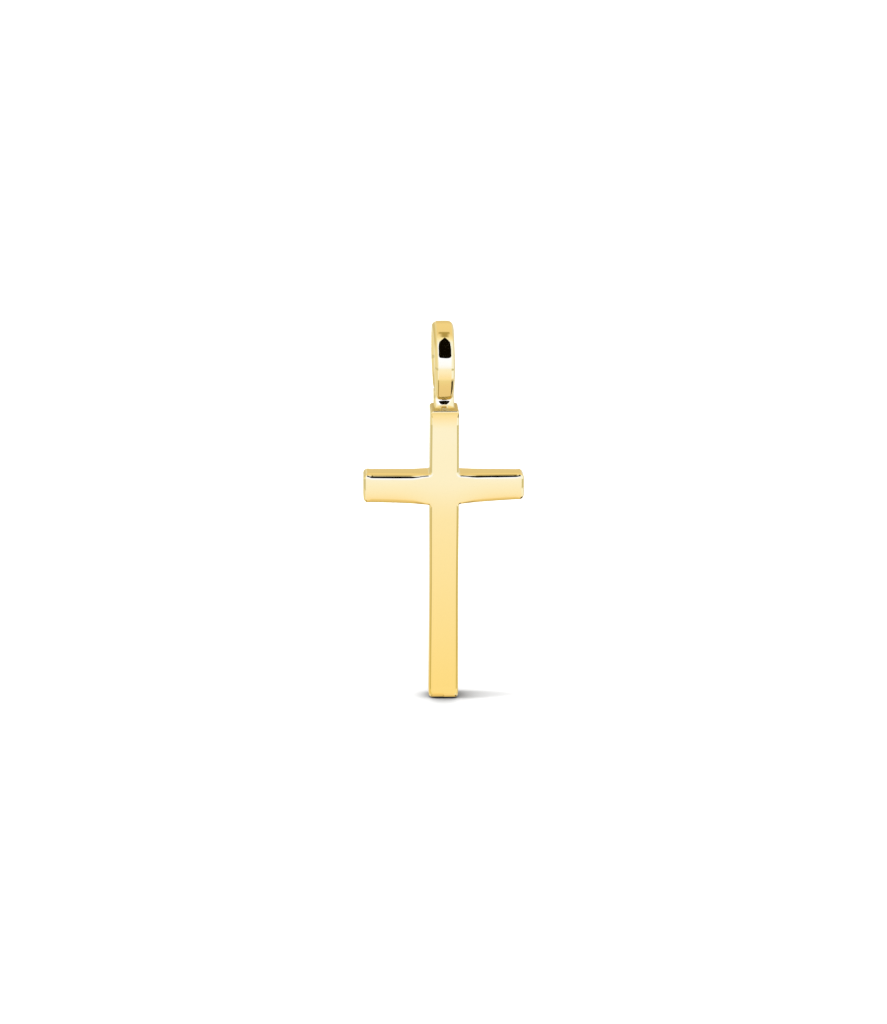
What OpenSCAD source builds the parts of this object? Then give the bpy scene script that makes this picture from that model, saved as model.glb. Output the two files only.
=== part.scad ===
// Cross pendant: a polished cross of nearly square bars, with a fixed oval bail
// soldered on edge to the top of its post. All of it is one piece of metal.
// Millimetres. +Z is up, -Y is the front face, and a chain runs along X.
// The origin is the top of the bail's inside, where the chain bears.

/* [Cross] */
// Height of the cross, from its foot to the top of its post
cross_h = 20.7; // [17:0.1:28]
// Span of the cross over both arms
cross_w = 11.0; // [8:0.1:15]
// Drop from the top of the post to the upper edge of the arms
arm_drop = 4.6; // [3.5:0.05:7]

/* [Widths seen from the front] */
// Width of the post at its top
post_top_w = 1.94; // [1.7:0.02:2.6]
// Width of the post where the arms leave it
post_arm_w = 2.06; // [1.7:0.02:2.6]
// Width of the post at its waist, between the arms and the foot
post_waist_w = 2.0; // [1.7:0.02:2.6]
// Width of the post at its foot
post_foot_w = 2.12; // [1.7:0.02:2.8]
// Height of the waist above the foot
waist_z = 8.5; // [5:0.1:10]
// Height of an arm where it leaves the post
arm_root_h = 2.16; // [1.7:0.02:2.8]
// Height of an arm at its end, the taper being on its lower edge
arm_end_h = 1.94; // [1.5:0.02:2.8]

/* [Thickness from front to back] */
// Thickness where the arms cross the post
cross_t = 1.86; // [1.6:0.02:2.6]
// Thickness of the post at its top
post_top_t = 1.86; // [1.6:0.02:2.6]
// Thickness of the post at its foot
post_foot_t = 1.84; // [1.6:0.02:2.6]
// Thickness of the arms at their ends
arm_end_t = 1.58; // [1.3:0.02:2.4]

/* [Rounding] */
// Radius of the outer edges of the cross
edge_r = 0.25; // [0.15:0.01:0.5]
// Radius in the four inner corners between the arms and the post
corner_r = 0.12; // [0.05:0.01:0.6]

/* [Bail] */
// Outer height of the oval bail
bail_h = 5.5; // [4.4:0.1:8]
// Outer depth of the oval bail, from front to back
bail_d = 4.2; // [3.4:0.1:6]
// Share of its depth that the bail loses from its middle down to its foot
bail_pinch = 0.15; // [0:0.05:0.4]
// Width of the bail's band, along the chain
band_w = 1.38; // [1:0.02:1.5]
// Thickness of the bail's band
band_t = 0.75; // [0.6:0.01:1]
// Radius of the band's edges
band_r = 0.25; // [0.1:0.01:0.29]

/* [Neck] */
// Height of the neck that the bail stands on
neck_h = 0.82; // [0.5:0.02:1.2]
// Width of the neck, along the chain
neck_w = 1.46; // [1.1:0.02:1.65]
// Thickness of the neck at its top, from front to back
neck_t = 0.9; // [0.7:0.05:1.3]
// Distance that the feet of the neck's ramps stay inside the post's faces
neck_inset = 0.02; // [0.01:0.01:0.1]
// Height of the knee where the slope of a ramp's foot would meet its upright top
ramp_knee = 0.3; // [0.1:0.02:0.45]
// Depth that the bail's bottom sits below the neck's shoulders
bail_dip = 0.3; // [0.2:0.01:0.4]
// Depth that the neck reaches up into the bail's band
neck_seat = 0.35; // [0.2:0.01:0.4]
// Depth that the neck reaches down into the post
neck_root = 0.6; // [0.5:0.05:1]
// Radius of the neck's edges
neck_r = 0.12; // [0.05:0.01:0.25]

/* [Hidden] */
turn_step = 22.5;   // widest turn in one side of a rounded corner, in degrees
turn_single = 16;   // a corner that turns less than this keeps one point
round_steps = 3;    // sides across the rounding of a plate's edge
round_end = 75;     // angle at which that rounding meets the plate's face
ramp_steps = 6;     // sides along a ramp of the neck
oval_steps = 56;    // stations round the bail
band_steps = 4;     // sides in each rounded corner of the band

// Heights of the bail's centre, the post's top, the arms and the foot
bail_z = band_t - bail_h / 2;
post_z = bail_z - bail_h / 2 + bail_dip - neck_h;
arm_top_z = post_z - arm_drop;
arm_low_z = arm_top_z - arm_root_h;
foot_z = post_z - cross_h;

// Half thickness of the post by level, and of the arms by distance from the middle
post_half_t = [
    // level, half thickness
    [foot_z, post_foot_t / 2],
    [arm_low_z, cross_t / 2],
    [arm_top_z, cross_t / 2],
    [post_z, post_top_t / 2],
];
arm_half_t = [
    // distance from the middle, half thickness
    [post_arm_w / 2, cross_t / 2],
    [cross_w / 2, arm_end_t / 2],
];

// Right half of the cross's outline seen from the front, from the foot upwards
cross_side = [
    // side, level
    [post_foot_w / 2, foot_z],
    [post_waist_w / 2, foot_z + waist_z],
    [post_arm_w / 2, arm_low_z],
    [cross_w / 2, arm_top_z - arm_end_h],
    [cross_w / 2, arm_top_z],
    [post_arm_w / 2, arm_top_z],
    [post_top_w / 2, post_z],
];

// Right half of the neck's outline seen from the side, from its root in the post
// upwards: a wall, a hollow ramp that ends upright, and the stub inside the bail
neck_foot_t = post_top_t - 2 * neck_inset;
ramp_in = (neck_foot_t - neck_t) / 2;
neck_side = concat(
    [[neck_foot_t / 2, post_z - neck_root]],
    [for (i = [0:ramp_steps])
        let (t = i / ramp_steps)
        [
            neck_foot_t / 2 - ramp_in * t * (2 - t),
            post_z + 2 * t * (1 - t) * ramp_knee + t * t * neck_h
        ]],
    [[neck_t / 2, post_z + neck_h + neck_seat]]
);

// Both halves of an outline, from its right half
function both_sides(half) =
    concat(half, [for (i = [len(half) - 1:-1:0]) [-half[i][0], half[i][1]]]);

// Unit vector at an angle, and the direction of a vector in degrees
function unit(a) = [cos(a), sin(a)];
function heading(v) = atan2(v[1], v[0]);

// Turn from one heading to the next, between -180 and 180 degrees
function turn(from, to) = (to - from + 540) % 360 - 180;

// Rows of [core point, outward direction] round an outline that runs anticlockwise.
// The outline is the core grown by r. Outer corners get radius r, inner ones fillet.
function rounded_rows(outline, r, fillet) = [
    for (i = [0:len(outline) - 1])
        let (
            n = len(outline),
            p = outline[i],
            before = heading(p - outline[(i + n - 1) % n]) - 90,
            after = heading(outline[(i + 1) % n] - p) - 90,
            bend = turn(before, after),
            single = abs(bend) < turn_single,
            // Where the two sides meet when both are moved in by r, or out by fillet
            reach = (bend > 0 || single ? r : -fillet) / cos(bend / 2),
            centre = p - reach * unit(before + bend / 2),
            steps = single ? 0 : ceil(abs(bend) / turn_step)
        )
        for (k = [0:steps])
            let (dir = unit(before + (single ? bend / 2 : bend * k / steps)))
            [bend > 0 || single ? centre : centre - (fillet + r) * dir, dir]
];

// Triangles between two rings of n points, the first of them at index a and b
function band_faces(a, b, n) = [
    for (i = [0:n - 1]) let (j = (i + 1) % n)
        each [[a + i, b + i, b + j], [a + i, b + j, a + j]]
];

// Plate with rounded edges across the direction of its thickness. The rows are its
// outline's, middle is a point that sees the whole outline, and half(p) is half
// its thickness at p. It lies in the XY plane.
module rounded_plate(rows, r, middle, half) {
    n = len(rows);
    angles = [for (k = [-round_steps:round_steps]) each
        k == 0 ? [[0, -1], [0, 1]] : [[round_end * k / round_steps, sign(k)]]];
    rings = [for (ring = angles) [for (row = rows)
        let (
            p = row[0] + r * cos(ring[0]) * row[1],
            z = ring[1] * (half(row[0]) - r * sin(round_end)) + r * sin(ring[0])
        )
        [p[0], p[1], z]]];
    last = len(rings) - 1;
    low = n * len(rings);
    points = concat(
        [for (ring = rings) each ring],
        [[middle[0], middle[1], -half(middle)], [middle[0], middle[1], half(middle)]]
    );
    faces = concat(
        [for (k = [0:last - 1]) each band_faces(k * n, (k + 1) * n, n)],
        [for (i = [0:n - 1]) [low, i, (i + 1) % n]],
        [for (i = [0:n - 1]) [low + 1, last * n + (i + 1) % n, last * n + i]]
    );
    polyhedron(points = points, faces = faces);
}

// The cross: its front outline with its own thickness at each place
module cross_body() {
    half = function(p)
        min(lookup(p[1], post_half_t), lookup(abs(p[0]), arm_half_t));
    rotate([90, 0, 0])
        rounded_plate(rounded_rows(both_sides(cross_side), edge_r, corner_r),
            edge_r, [0, (arm_top_z + arm_low_z) / 2], half);
}

// The neck: its side outline with the neck's width
module neck() {
    half = function(p) neck_w / 2;
    rotate([90, 0, 90])
        rounded_plate(rounded_rows(both_sides(neck_side), neck_r, neck_r),
            neck_r, [0, post_z], half);
}

// Section of the band: [outwards, sideways] from its middle, with rounded corners
band_section = [
    for (side = [0:3])
        let (
            corner = [[1, -1], [1, 1], [-1, 1], [-1, -1]][side],
            middle = [corner[0] * (band_t / 2 - band_r), corner[1] * (band_w / 2 - band_r)]
        )
        for (k = [0:band_steps])
            middle + band_r * unit(90 * (side - 1) + 90 * k / band_steps)
];

// The bail: the band's section carried round an oval that stands front to back and
// narrows towards its foot
module bail() {
    n = len(band_section);
    depth = bail_d / 2 - band_t / 2;
    height = bail_h / 2 - band_t / 2;
    points = [
        for (i = [0:oval_steps - 1])
            let (
                a = 360 * i / oval_steps,
                low = min(sin(a), 0),
                left = 1 - bail_pinch * low * low,
                slope = sin(a) * left + 2 * bail_pinch * low * cos(a) * cos(a),
                out = unit(heading([height * cos(a), depth * slope]))
            )
            for (s = band_section)
                [
                    s[1],
                    depth * cos(a) * left + s[0] * out[0],
                    bail_z + height * sin(a) + s[0] * out[1]
                ]
    ];
    faces = [for (i = [0:oval_steps - 1]) each band_faces((i + 1) % oval_steps * n, i * n, n)];
    polyhedron(points = points, faces = faces);
}

module cross_pendant() {
    color([0.93, 0.77, 0.42]) {
        cross_body();
        neck();
        bail();
    }
}

cross_pendant();
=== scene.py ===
"""Polished gold cross pendant with an oval bail, standing on a white ground in a light tent.

The metal is one body. Its surface is given by a rule, the distance from any place to the
pendant, which Geometry Nodes turn into a mesh. Lengths in that rule are millimetres, and
lengths in materials and in the scene are metres.
"""
import math

import bpy
from mathutils import Matrix, Vector


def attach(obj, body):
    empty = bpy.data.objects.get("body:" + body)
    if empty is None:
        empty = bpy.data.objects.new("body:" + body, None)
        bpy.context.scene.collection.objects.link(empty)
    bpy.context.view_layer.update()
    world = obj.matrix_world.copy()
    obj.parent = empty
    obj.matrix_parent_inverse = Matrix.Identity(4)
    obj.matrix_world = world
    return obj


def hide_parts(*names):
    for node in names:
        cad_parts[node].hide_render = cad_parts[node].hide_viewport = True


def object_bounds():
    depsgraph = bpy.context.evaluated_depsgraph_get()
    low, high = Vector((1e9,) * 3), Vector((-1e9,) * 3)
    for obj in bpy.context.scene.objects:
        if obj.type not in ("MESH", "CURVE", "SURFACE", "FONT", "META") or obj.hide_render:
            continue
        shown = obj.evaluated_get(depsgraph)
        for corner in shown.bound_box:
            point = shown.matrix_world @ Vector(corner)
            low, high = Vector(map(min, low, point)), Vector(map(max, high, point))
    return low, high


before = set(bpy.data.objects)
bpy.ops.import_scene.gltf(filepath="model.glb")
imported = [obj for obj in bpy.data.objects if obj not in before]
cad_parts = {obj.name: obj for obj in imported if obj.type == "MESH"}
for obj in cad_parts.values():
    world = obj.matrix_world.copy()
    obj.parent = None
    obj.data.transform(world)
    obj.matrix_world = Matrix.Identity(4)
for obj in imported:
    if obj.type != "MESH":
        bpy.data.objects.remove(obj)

MM = 0.001
cad_low, cad_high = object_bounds()

# Share of red, green and blue that the gold sends back
GOLD_TINT = (0.93, 0.77, 0.42)
# Painted shade: deeper gold painted low on the pendant, where the ground it mirrors throws less
# light back
PAINTED_DIM_REFLECTION_TINT = (0.93, 0.64, 0.18)     # where the ground throws less light back
# Painted reflection: a pale tint for gold seen mirrored in gold
PAINTED_SELF_REFLECTION_TINT = (0.96, 0.93, 0.86)        # of gold that is mirrored in gold
# Painted shade along the crease round the neck's foot
CREASE_SHADE_TINT = (0.66, 0.50, 0.17)          # of the dull seam round the neck's foot


# Node trees written as arithmetic

class Field:
    """A value in a node tree. Arithmetic on it adds nodes to the tree."""

    def __init__(self, tree, socket):
        self.tree, self.socket = tree, socket

    def __add__(self, other):
        return math_node("ADD", self, other)

    def __sub__(self, other):
        return math_node("SUBTRACT", self, other)

    def __rsub__(self, other):
        return math_node("SUBTRACT", other, self)

    def __mul__(self, other):
        return math_node("MULTIPLY", self, other)

    def __truediv__(self, other):
        return math_node("DIVIDE", self, other)

    def __neg__(self):
        return math_node("MULTIPLY", self, -1)

    def __abs__(self):
        return math_node("ABSOLUTE", self)

    __radd__, __rmul__ = __add__, __mul__


def node(tree, kind, *values, out=0, **settings):
    """A node whose inputs are linked or set in order. None leaves an input as it is."""
    made = tree.nodes.new(kind)
    for name, value in settings.items():
        setattr(made, name, value)
    for socket, value in zip(made.inputs, values):
        if isinstance(value, Field):
            tree.links.new(value.socket, socket)
        elif value is not None:
            socket.default_value = value
    return Field(tree, made.outputs[out])


def math_node(operation, *values):
    """A sum or other operation on fields and numbers."""
    tree = next(value.tree for value in values if isinstance(value, Field))
    return node(tree, "ShaderNodeMath", *values, operation=operation)


def vector_node(operation, *values, out=0):
    """The same on vectors. Output 1 holds a result that is a number."""
    tree = next(value.tree for value in values if isinstance(value, Field))
    return node(tree, "ShaderNodeVectorMath", *values, operation=operation, out=out)


def least(a, b):
    return math_node("MINIMUM", a, b)


def most(a, b):
    return math_node("MAXIMUM", a, b)


def root(a):
    return math_node("SQRT", a)


def between(value, start, end, low=0.0, high=1.0, kind="SMOOTHSTEP"):
    """Eases from low at start to high at end."""
    return node(value.tree, "ShaderNodeMapRange", value, start, end, low, high,
                interpolation_type=kind)


def soft_step(value, edge, width):
    """0 below the edge and 1 above it."""
    return between(value, edge - width / 2, edge + width / 2)


def mix_colour(amount, a, b):
    """Colour a where amount is 0 and b where it is 1."""
    tree = amount.tree
    made = tree.nodes.new("ShaderNodeMix")
    made.data_type = "RGBA"
    tree.links.new(amount.socket, made.inputs["Factor"])
    for socket, value in zip((made.inputs[6], made.inputs[7]), (a, b)):
        if isinstance(value, Field):
            tree.links.new(value.socket, socket)
        else:
            socket.default_value = (*value, 1)
    return Field(tree, made.outputs[2])


def components(vector):
    split = node(vector.tree, "ShaderNodeSeparateXYZ", vector).socket.node
    return [Field(vector.tree, socket) for socket in split.outputs]


def length_of(a, b):
    return root(a * a + b * b)


def rounded_meet(a, b, r):
    """The part inside both a and b, its outer edge rounded with radius r."""
    return least(most(a, b), -r) + length_of(most(a + r, 0.0), most(b + r, 0.0))


def rounded_join(a, b, r):
    """The part inside a or b, its inner corner rounded with radius r."""
    return most(least(a, b), r) - length_of(most(r - a, 0.0), most(r - b, 0.0))


# The pendant's surface

SIZES = {
    "Post top level": -5.287,
    "Arm top level": -9.842,
    "Arm lower level": -12.036,
    "Waist level": -17.47,
    "Foot level": cad_low.z / MM - 0.02,
    "Half width at post top": 0.985,
    "Half width at arms": 1.008,
    "Half width at waist": 0.99,
    "Half width at foot": 1.02,
    "Half span": cad_high.x / MM,
    "Extra reach of left arm": 0.07,
    "Tilt of left arm": -0.0098,
    "Tilt of right arm": -0.006,
    "Step between lower edges": 0.06,
    "Taper of left arm": 0.12,
    "Taper of right arm": 0.23,
    "Half thickness at post top": 0.937,
    "Half thickness at crossing": 0.93,
    "Half thickness at foot": 0.92,
    "Thinning of left arm": 0.08,
    "Thinning of right arm": 0.2,
    "Fall of arm faces": 0.22,
    "Rise before the fall": 0.12,
    "Fall begins from middle": 0.5,
    "Fall is full from middle": 3.8,
    "Lip at post top": 0.245,
    "Reach of lip": 1.2,
    "Ease of arm edges at post": 1.3,
    "Upright edge rounding": 0.18,
    "Level edge rounding": 0.31,
    "Extra level rounding of left arm": 0.07,
    "Top edge rounding": 0.035,
    "Post corner rounding": 0.2,
    "Arm corner rounding": 0.36,
    "Inner corner rounding": 0.12,
    "Bail half height": 2.75,
    "Bail belly drop": 0.109,
    "Bail pinch": 0.44,
    "Bail stretch": 0.248,
    "Bail foot level": -4.6,
    "Bail foot curve": 0.45,
    "Bail foot rounding": 0.051,
    "Bail half depth": cad_high.y / MM,
    "Band thickness": cad_high.z / MM,
    "Band half width": 0.695,
    "Band taper": 0.06,
    "Band flare at top": 0.08,
    "Band rounding": 0.252,
    "Extra band rounding at top": 0.17,
    "Band crown": 0.043,
    "Bail shift": 0.045,
    "Bail lean": 0.018,
    "Bail twist": 0.0262,
    "Neck height": 0.861,
    "Neck half width": 0.698,
    "Neck half depth at foot": 0.857,
    "Neck half depth at top": 0.397,
    "Neck knee height": 0.243,
    "Neck crown": 0.08,
    "Neck lift": -0.33,
    "Neck inset": 0.09,
    "Neck root": 0.6,
    "Ramp foot rounding": 0.04,
    "Neck rounding": 0.12,
    "Solder rounding": 0.06,
}


def cross_form(x, y, z, size):
    """Distance to the cross: post and arms as one rounded plate."""
    top, foot = size["Post top level"], size["Foot level"]
    arm_top, arm_low = size["Arm top level"], size["Arm lower level"]
    # The post's half width, from its foot over the waist and the arms to its top
    width = size["Half width at foot"]
    for start, end, low, high in (("Foot level", "Waist level", "foot", "waist"),
                                  ("Waist level", "Arm lower level", "waist", "arms"),
                                  ("Arm top level", "Post top level", "arms", "post top")):
        change = size["Half width at " + high] - size["Half width at " + low]
        width = width + between(z, size[start], size[end]) * change
    post = rounded_meet(abs(x) - width,
                        abs(z - (top + foot) * 0.5) - (top - foot) * 0.5,
                        size["Post corner rounding"])
    # Each arm keeps its upper edge level and tapers on its lower one
    right = math_node("GREATER_THAN", x, 0.0)
    span = size["Half span"] + (1 - right) * size["Extra reach of left arm"]
    outward = between(abs(x), size["Half width at arms"], span, kind="LINEAR")
    taper = size["Taper of left arm"] * (1 - right) + size["Taper of right arm"] * right
    tilt = x * (size["Tilt of left arm"] * (1 - right) + size["Tilt of right arm"] * right)
    upper = arm_top + tilt
    step = size["Step between lower edges"] * (right - 0.5)
    lower = arm_low + step + tilt * 0.5 + outward * taper
    arms = rounded_meet(abs(z - (upper + lower) * 0.5) - (upper - lower) * 0.5,
                        abs(x) - span, size["Arm corner rounding"])
    outline = rounded_join(post, arms, size["Inner corner rounding"])
    # Half thickness: fullest where the arms cross the post
    full = size["Half thickness at crossing"]
    thinning = size["Thinning of left arm"] * (1 - right)
    thinning = thinning + size["Thinning of right arm"] * right
    above = between(z, arm_top, top) * (full - size["Half thickness at post top"])
    below = between(z, arm_low, foot) * (full - size["Half thickness at foot"])
    near_top = between(z, top - size["Reach of lip"], top, kind="LINEAR")
    lip = near_top * near_top * size["Lip at post top"]
    # The arms' faces fall away towards their lower edges
    drop = between(z, arm_top, arm_low, kind="LINEAR")
    fall = drop * (drop * drop * drop - size["Rise before the fall"]) * size["Fall of arm faces"]
    fall = fall * between(abs(x), size["Fall begins from middle"], size["Fall is full from middle"])
    half = full - outward * thinning - above - below + lip - fall
    # Edges: soft on the level edges of the arms and the foot, crisp on upright ones and
    # at the post's top. One passes into the next over half a millimetre.
    edge = size["Upright edge rounding"]
    root_end = size["Half width at arms"]
    on_arm = between(abs(x), root_end, root_end + size["Ease of arm edges at post"])
    level_edge = most(on_arm * between(abs(x), span - 0.1, span - 0.6),
                      between(z, foot + 0.6, foot + 0.2))
    level_round = size["Extra level rounding of left arm"] * (1 - right)
    level_round = level_round + size["Level edge rounding"]
    edge = edge + (level_round - edge) * level_edge
    edge = edge + (size["Top edge rounding"] - edge) * between(z, top - 0.6, top - 0.2)
    return rounded_meet(outline, abs(y) - half, edge), half


def neck_form(x, y, z, half, size):
    """Distance to the neck: hollow ramps in front and behind that end upright.

    half is the post's half thickness, which the ramps stay inside.
    """
    height, knee = size["Neck height"], size["Neck knee height"]
    run = size["Neck half depth at foot"] - size["Neck half depth at top"]
    # The ramp climbs a little at both sides of the bail's foot
    level = z - size["Post top level"] - x * x * size["Neck lift"]
    rise = least(most(level, 0.0), height)
    # Place along the ramp's curve, 0 at its foot and 1 at its top, from its rise
    along = rise / (knee + root(knee * knee + (height - knee * 2) * rise))
    depth = size["Neck half depth at foot"] - run * along * (2 - along)
    depth = depth + most(-level, 0.0) * run / knee - x * x * size["Neck crown"]
    faces = rounded_meet(abs(y) - depth, abs(y) - half + size["Neck inset"],
                         size["Ramp foot rounding"])
    # From its root in the post up into the bail's band
    ends = abs(level - height * 0.4) - (height * 0.6 + size["Neck root"])
    return rounded_meet(most(faces, ends), abs(x) - size["Neck half width"],
                        size["Neck rounding"])


def oval_form(y, z, half_depth, half_height):
    """Distance from an oval, which is right near its line only."""
    u, v = y / half_depth, z / half_height
    near = length_of(u, v)
    return near * (near - 1) / length_of(u / half_depth, v / half_height)


def bail_form(x, y, z, size):
    """Distance to the bail: a band that follows an oval on edge."""
    thick = size["Band thickness"]
    level = z - (thick - size["Bail half height"])
    # The oval is fullest a little below its middle and narrows towards its foot
    share = level / size["Bail half height"]
    level = level + (1 - share * share) * size["Bail belly drop"]
    low = least(level / size["Bail half height"], 0.0)
    left = 1 - low * low * size["Bail pinch"]
    # Its outside runs on downwards to a flat foot
    outside = level - least(level, 0.0) * size["Bail stretch"]
    outer = oval_form(y, outside, size["Bail half depth"] * left, size["Bail half height"])
    inner = oval_form(y, level, (size["Bail half depth"] - thick) * left,
                      size["Bail half height"] - thick)
    # The band flares and gets rounder at its top
    high = most(share, 0.0)
    high = high * high * high * high
    width = (size["Band half width"] + low * size["Band taper"]
             + high * size["Band flare at top"])
    # Its front ends in a round, like a U
    side = x / width
    foot = size["Bail foot level"] + side * side * side * side * size["Bail foot curve"]
    outer = rounded_meet(outer + side * side * size["Band crown"], foot - z,
                         size["Bail foot rounding"])
    edge = size["Band rounding"] + high * size["Extra band rounding at top"]
    return rounded_meet(most(outer, -inner), abs(x) - width, edge)


def new_group(name, ins, outs):
    """A Geometry Nodes group and the fields of its inputs."""
    tree = bpy.data.node_groups.new(name, "GeometryNodeTree")
    for label, kind in ins:
        tree.interface.new_socket(label, in_out="INPUT", socket_type=kind)
    for label, kind in outs:
        tree.interface.new_socket(label, in_out="OUTPUT", socket_type=kind)
    entry = tree.nodes.new("NodeGroupInput")
    return tree, {s.name: Field(tree, s) for s in entry.outputs if s.name}


def end_group(tree, *fields):
    """Links the group's outputs, in order."""
    end = tree.nodes.new("NodeGroupOutput")
    for field, socket in zip(fields, end.inputs):
        tree.links.new(field.socket, socket)


def use_group(tree, group, fields):
    """A group node whose inputs are linked by name."""
    made = tree.nodes.new("GeometryNodeGroup")
    made.node_tree = group
    for socket in made.inputs:
        if socket.name in fields:
            tree.links.new(fields[socket.name].socket, socket)
    return [Field(tree, socket) for socket in made.outputs]


SIZE_SOCKETS = [(label, "NodeSocketFloat") for label in SIZES]


def form_group():
    """Group: place in, distance to the pendant out."""
    tree, fields = new_group("pendant_form", [("Place", "NodeSocketVector")] + SIZE_SOCKETS,
                             [("Distance", "NodeSocketFloat")])
    x, y, z = components(fields["Place"])
    # The bail and neck lean over their foot and are turned a little against the cross
    lean = most(z - fields["Post top level"], 0.0) * fields["Bail lean"] + fields["Bail shift"]
    x_bail = x + lean + y * fields["Bail twist"]
    y_bail = y - x * fields["Bail twist"]
    cross, half = cross_form(x, y, z, fields)
    neck = neck_form(x_bail, y_bail, z, half, fields)
    bail = bail_form(x_bail, y_bail, z, fields)
    solder = fields["Solder rounding"]
    whole = rounded_join(rounded_join(cross, neck, solder), bail, solder)
    end_group(tree, whole)
    return tree


def settle_group(form, reach=0.012):
    """Group: place in, the nearest place on the surface out."""
    tree, fields = new_group("settle_on_form", [("Place", "NodeSocketVector")] + SIZE_SOCKETS,
                             [("Place", "NodeSocketVector")])
    place = fields["Place"]

    def distance(offset):
        moved = vector_node("ADD", place, offset)
        return use_group(tree, form, {**fields, "Place": moved})[0]

    steps = [Vector(axis) * reach for axis in ((1, 0, 0), (0, 1, 0), (0, 0, 1))]
    rates = [(distance(step) - distance(-step)) / (2 * reach) for step in steps]
    slope = node(tree, "ShaderNodeCombineXYZ", *rates)
    square = vector_node("DOT_PRODUCT", slope, slope, out=1)
    move = vector_node("SCALE", slope, None, None, -(distance((0, 0, 0)) / most(square, 0.1)))
    end_group(tree, vector_node("ADD", place, move))
    return tree


def surface_group(form, settle, gold, voxel=0.07):
    """Group: the sizes in, the pendant's mesh out.

    A coarse mesh from a volume is settled three times on the true surface.
    """
    tree, fields = new_group("pendant_surface", SIZE_SOCKETS,
                             [("Geometry", "NodeSocketGeometry")])
    place = node(tree, "GeometryNodeInputPosition")
    distance = use_group(tree, form, {**fields, "Place": place})[0]
    room = Vector((0.35, 0.35, 0.35))   # round the solid's box, for what is added to it
    low, high = cad_low / MM - room, cad_high / MM + room
    counts = [math.ceil(side / voxel) for side in high - low]
    density = between(distance, 2 * voxel, -2 * voxel, kind="LINEAR")
    block = node(tree, "GeometryNodeVolumeCube", density, 0.0, low, high, *counts)
    # Its surface lies where the density is a half
    mesh = node(tree, "GeometryNodeVolumeToMesh", block, None, None, 0.5, 0.0)
    for _ in range(3):
        settled = use_group(tree, settle, {**fields, "Place": place})[0]
        mesh = node(tree, "GeometryNodeSetPosition", mesh, None, settled)
    mesh = node(tree, "GeometryNodeTransform", mesh, None, None, (MM,) * 3)
    mesh = node(tree, "GeometryNodeSetShadeSmooth", mesh)
    mesh = node(tree, "GeometryNodeRealizeInstances", mesh)
    mesh = node(tree, "GeometryNodeSetMaterial", mesh, None, gold)
    end_group(tree, mesh)
    return tree


def made_by_nodes(name, group, values):
    """A plain mesh object from a Geometry Nodes group and its input values."""
    host = bpy.data.objects.new(name, bpy.data.meshes.new(name))
    bpy.context.scene.collection.objects.link(host)
    modifier = host.modifiers.new("form", "NODES")
    modifier.node_group = group
    for item in group.interface.items_tree:
        if item.in_out == "INPUT" and item.name in values:
            modifier[item.identifier] = float(values[item.name])
    host.update_tag()
    shown = host.evaluated_get(bpy.context.evaluated_depsgraph_get())
    mesh = bpy.data.meshes.new_from_object(shown)
    host.modifiers.remove(modifier)
    host.data = mesh
    mesh.name = name
    return host


# Gold

def linear(rgb):
    """Scene colour of an sRGB colour given from 0 to 255."""
    return [(c / 255 / 12.92) if c <= 10 else ((c / 255 + 0.055) / 1.055) ** 2.4 for c in rgb]


def seen_in_gold(rgb):
    """Light that the gold shows as this sRGB colour."""
    return [c / tint for c, tint in zip(linear(rgb), GOLD_TINT)]


def polished_gold():
    """Mirror-bright yellow gold with fine scratches and a hand-finished waviness."""
    material = bpy.data.materials.new("polished_gold")
    material.use_nodes = True
    tree = material.node_tree
    tree.nodes.clear()
    place = Field(tree, tree.nodes.new("ShaderNodeTexCoord").outputs["Object"])
    level = components(place)[2]
    # Waviness, and scratches that run along the level of the cross: noise by its scale,
    # detail and roughness
    wave = node(tree, "ShaderNodeTexNoise", place, None, 380.0, 1.0, 0.4)
    scratch_place = vector_node("MULTIPLY", place, (900.0, 900.0, 5200.0))
    scratches = node(tree, "ShaderNodeTexNoise", scratch_place, None, 1.0, 3.0, 0.6)
    bump = node(tree, "ShaderNodeBump", 1.0, 0.000012, None, wave + scratches * 0.02)
    # Painted shade: a deeper gold painted in below the arms and towards the foot, standing in for
    # the ground round it that throws less light back
    painted_dim_below_arms = soft_step(-level, 0.0116, 0.0034) * 0.52
    painted_dim_near_foot = between(level, -0.0125, -0.0255, kind="LINEAR") * 0.5
    painted_dim_near_foot = painted_dim_near_foot * soft_step(level, -0.02572, 0.0001)
    tint = mix_colour(painted_dim_below_arms + painted_dim_near_foot, GOLD_TINT, PAINTED_DIM_REFLECTION_TINT)
    # Painted reflection: gold seen mirrored in gold is painted pale, almost white, so it shows the
    # colour of a single reflection instead of going deeper
    bounces = Field(tree, tree.nodes.new("ShaderNodeLightPath").outputs["Glossy Depth"])
    tint = mix_colour(math_node("GREATER_THAN", bounces, 0.5), tint, PAINTED_SELF_REFLECTION_TINT)
    # Painted shade: the crease round the neck's foot is painted darker, where shade falls; it is
    # also rougher there, as no polishing wheel gets there
    seam = between(abs(level + 0.005275), 0.00009, 0.00003)
    tint = mix_colour(seam, tint, CREASE_SHADE_TINT)
    shader = tree.nodes.new("ShaderNodeBsdfPrincipled")
    tree.links.new(tint.socket, shader.inputs["Base Color"])
    tree.links.new((seam * 0.3 + 0.04).socket, shader.inputs["Roughness"])
    shader.inputs["Metallic"].default_value = 1.0
    tree.links.new(bump.socket, shader.inputs["Normal"])
    end = tree.nodes.new("ShaderNodeOutputMaterial")
    tree.links.new(shader.outputs[0], end.inputs["Surface"])
    return material


# Ground, tent, lights and camera

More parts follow.
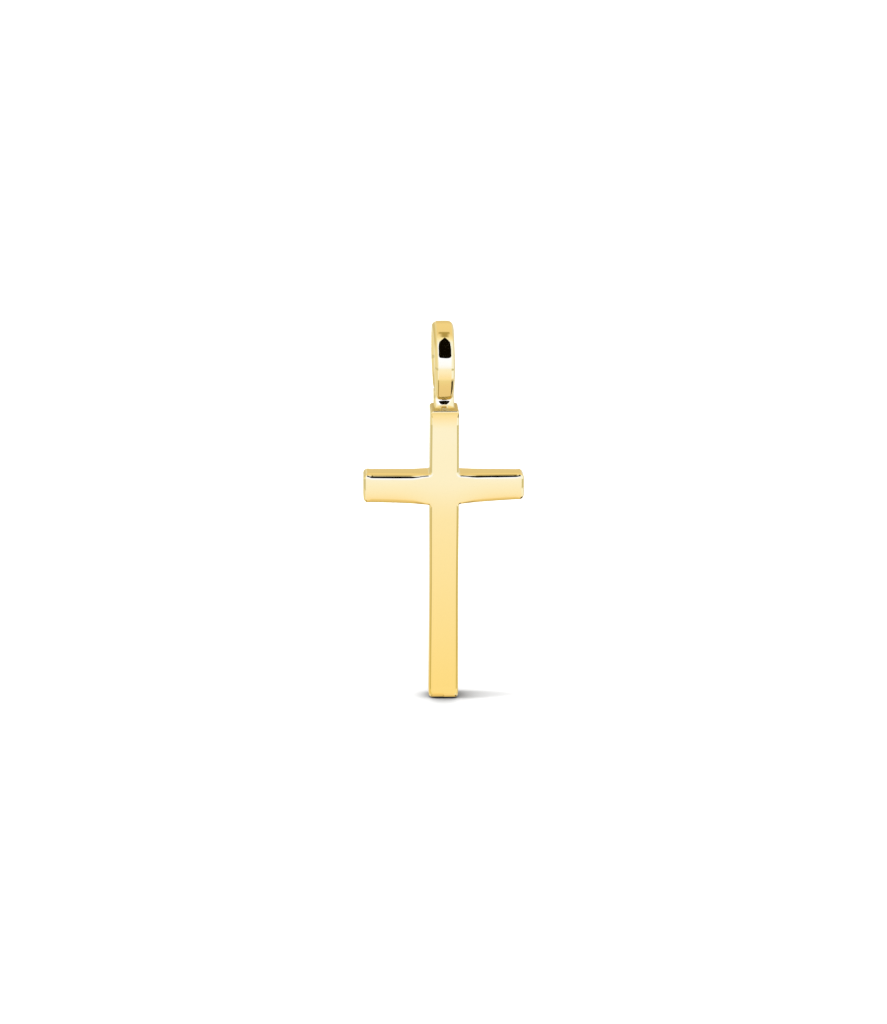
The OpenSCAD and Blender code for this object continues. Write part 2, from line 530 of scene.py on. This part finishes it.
def white_ground(level):
    """A wide white floor just under the pendant's foot."""
    half = 0.6
    mesh = bpy.data.meshes.new("white_ground")
    corners = [(x * half, y * half, level) for x, y in ((-1, -1), (1, -1), (1, 1), (-1, 1))]
    mesh.from_pydata(corners, [], [(0, 1, 2, 3)])
    material = bpy.data.materials.new("white_ground")
    material.use_nodes = True
    tree = material.node_tree
    shader = tree.nodes["Principled BSDF"]
    # Painted contact shadow: the floor's colour darkens with its ambient occlusion where the foot
    # stands close, deepening the real shadow there
    open_share = node(tree, "ShaderNodeAmbientOcclusion", None, 0.004, out=1, samples=12)
    depth = math_node("POWER", open_share, 1.5)
    tree.links.new((depth * 0.9).socket, shader.inputs["Base Color"])
    shader.inputs["Roughness"].default_value = 0.9
    shader.inputs["Specular IOR Level"].default_value = 0.1
    mesh.materials.append(material)
    ground = bpy.data.objects.new("white_ground", mesh)
    bpy.context.scene.collection.objects.link(ground)
    ground.visible_glossy = False


# What the gold shows where it faces forward, by its tilt in degrees: 0 faces the front,
# 90 is a face that looks up. Strength above 1 burns out to white.
TENT = [
    # tilt, colour shown, strength
    (-83, (234, 202, 124), 1), (-73, (230, 198, 120), 1), (-55.5, (205, 180, 105), 1),
    (-46.2, (209, 184, 97), 1), (-43.7, (225, 190, 107), 1), (-37.7, (234, 198, 122), 1),
    (-27.2, (238, 203, 126), 1), (-20.2, (240, 211, 134), 1), (-16, (254, 226, 156), 1),
    (-12.2, (255, 228, 166), 1), (-6.7, (255, 235, 182), 1), (-1.1, (254, 239, 194), 1),
    (-0.3, (254, 240, 198), 1), (0.5, (253, 243, 212), 1), (2.2, (255, 249, 230), 1),
    (4.5, (255, 253, 244), 1), (10, (255, 255, 252), 1), (13, (255, 255, 255), 1.15),
    (27.2, (255, 255, 255), 1.15), (30.2, (255, 246, 214), 1), (36.2, (253, 230, 160), 1),
    (43.2, (240, 207, 128), 1), (70.7, (243, 210, 129), 1), (82.2, (229, 195, 115), 1),
    (90, (226, 193, 113), 1),
]


def tent_front(tilt):
    """The tent's light for gold that faces forward."""
    shown = [[c * power for c in seen_in_gold(rgb)] for _, rgb, power in TENT]
    colour = shown[0]
    for (start, *_), (end, *_), light in zip(TENT, TENT[1:], shown[1:]):
        colour = mix_colour(between(tilt, start, end, kind="LINEAR"), colour, light)
    return colour


# What it shows of the tent's other parts
TENT_PARTS = {
    "right cloth": (252, 244, 206),
    "right band": (208, 190, 122),
    "right floor": (40, 27, 4),
    "right low wall": (218, 197, 142),
    "right wall": (226, 209, 158),
    "left cloth": (252, 240, 200),
    "left floor": (160, 126, 46),
    "left wall": (236, 214, 146),
    "left band": (211, 193, 130),
    "left high wall": (213, 186, 112),
    "left far wall": (230, 207, 138),
    "seam": (158, 128, 44),
    "opening": (10, 6, 0),
}
EYE_LEVEL = -0.9                    # tilt of the golden bands
ARCH_CENTRE, ARCH_HALF = 1.4, 6.6   # of the opening, by turn
ARCH_SILL, ARCH_TIP = 11.9, 38.2    # of the opening, by tilt


def tent_view(tilt, turn):
    """The tent's light for gold by its tilt and its turn to the right, in degrees."""
    colour = tent_front(tilt)

    def lay(mask, part):
        """The tent so far, with a part laid over it where the mask is 1."""
        return mix_colour(mask, colour, seen_in_gold(TENT_PARTS[part]))

    middle = soft_step(tilt, -16, 5) * soft_step(-tilt, -33, 5)
    low = soft_step(-tilt, 19, 5) * soft_step(tilt, -50, 8)
    off_level = abs(tilt - EYE_LEVEL)
    # At the right: cream cloth with a golden band at eye level, over a dark floor,
    # and a duller wall beside them
    right = soft_step(turn, 9, 5)
    colour = lay(right * middle, "right cloth")
    colour = lay(right * soft_step(1.6 - off_level, 0, 1), "right band")
    colour = lay(right * low, "right floor")
    colour = lay(soft_step(turn, 29, 8) * low, "right low wall")
    colour = lay(soft_step(turn, 38, 12), "right wall")
    # At the left: cream cloth over a dull floor, and golden walls beside them
    left = soft_step(-turn, 9, 6)
    colour = lay(left * middle, "left cloth")
    colour = lay(left * low, "left floor")
    colour = lay(soft_step(-turn, 19, 12), "left wall")
    colour = lay(soft_step(2 - off_level, 0, 1) * soft_step(-turn, 14, 6), "left band")
    colour = lay(soft_step(-turn, 35, 20) * soft_step(tilt, 25, 12), "left high wall")
    colour = lay(soft_step(-turn, 70, 20), "left far wall")
    # The tent's opening, a dark pointed arch, and the seams over it
    off = abs(turn - ARCH_CENTRE)
    half = least((ARCH_TIP - tilt) * 0.52, ARCH_HALF + most(ARCH_TIP - 8 - tilt, 0.0) * 0.04)
    arch = soft_step(half - off, 0, 0.4) * soft_step(tilt, ARCH_SILL + off * off * 0.05, 0.6)
    seam = soft_step(2.4 - off, 0, 3) * soft_step(tilt, ARCH_TIP, 2) * soft_step(-tilt, -46, 3)
    cross_seam = soft_step(1.8 - abs(tilt - 46), 0, 3) * soft_step(5 - off, 0, 6)
    colour = lay(most(seam, cross_seam) * 0.85, "seam")
    return lay(arch, "opening")


# The direction from the gold to the camera, which the tent is laid out for
TO_CAMERA = (-0.0473, -0.9670, 0.2504)
GROUND_LIGHT = (1.144, 1.144, 1.144)   # what falls on the ground straight from the tent
THROWN_LIGHT = (0.1, 0.1, 0.1)         # what it gets by way of the gold


def light_tent():
    """The world: what the gold mirrors, an even white for the rest."""
    world = bpy.data.worlds.new("light_tent")
    bpy.context.scene.world = world
    world.use_nodes = True
    tree = world.node_tree
    tree.nodes.clear()
    direction = Field(tree, tree.nodes.new("ShaderNodeTexCoord").outputs["Generated"])
    # The way that gold has to face to mirror this direction to the camera
    facing = vector_node("NORMALIZE", vector_node("ADD", direction, TO_CAMERA))
    x, y, z = components(facing)
    degree = 180 / math.pi
    colour = tent_view(math_node("ARCTAN2", z, -y) * degree, math_node("ARCSINE", x) * degree)
    rays = tree.nodes.new("ShaderNodeLightPath")
    mirrored = Field(tree, rays.outputs["Is Glossy Ray"])
    # The ground gets an even light, and almost none of it by way of the gold
    by_gold = mirrored * math_node("GREATER_THAN", Field(tree, rays.outputs["Diffuse Depth"]), 0.5)
    colour = mix_colour(mirrored, GROUND_LIGHT, colour)
    colour = mix_colour(by_gold, colour, THROWN_LIGHT)
    background = tree.nodes.new("ShaderNodeBackground")
    tree.links.new(colour.socket, background.inputs["Color"])
    background.inputs["Strength"].default_value = 1.0
    end = tree.nodes.new("ShaderNodeOutputWorld")
    tree.links.new(background.outputs[0], end.inputs["Surface"])


def soft_light(name, place, aim, size, power):
    """An area light that the gold doesn't mirror."""
    data = bpy.data.lights.new(name, "AREA")
    data.shape, data.size, data.energy = "DISK", size, power
    light = bpy.data.objects.new(name, data)
    bpy.context.scene.collection.objects.link(light)
    light.location = place
    light.rotation_euler = (Vector(aim) - Vector(place)).to_track_quat("-Z", "Y").to_euler()
    light.visible_glossy = False


def photo_camera(azimuth=-2.8, elevation=15.8, roll=0.3, distance=0.2947, lens=150.0,
                 aim=(-0.000024, 0.0, -0.012786)):
    """The camera at the photo's angle."""
    a, e, r = (math.radians(v) for v in (azimuth, elevation, roll))
    back = Vector((math.sin(a) * math.cos(e), -math.cos(a) * math.cos(e), math.sin(e)))
    right = Vector((math.cos(a), math.sin(a), 0.0))
    up = back.cross(right)
    right, up = right * math.cos(r) + up * math.sin(r), up * math.cos(r) - right * math.sin(r)
    data = bpy.data.cameras.new("photo_camera")
    data.lens = lens
    data.clip_start, data.clip_end = 0.01, 10
    camera = bpy.data.objects.new("photo_camera", data)
    bpy.context.scene.collection.objects.link(camera)
    camera.matrix_world = Matrix.Translation(Vector(aim) + back * distance) @ Matrix(
        (right, up, back)).transposed().to_4x4()
    bpy.context.scene.camera = camera


photo_camera()
bpy.context.scene.view_settings.view_transform = "Standard"
light_tent()
soft_light("key_light", place=(-0.30, 0.0, 0.16), aim=(0, 0, -0.026), size=0.16, power=1.55)
white_ground(cad_low.z - 0.00008)

form = form_group()
surface = surface_group(form, settle_group(form), polished_gold())
pendant = made_by_nodes("gold_pendant", surface, SIZES)
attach(pendant, "root")
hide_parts("cross_pendant")
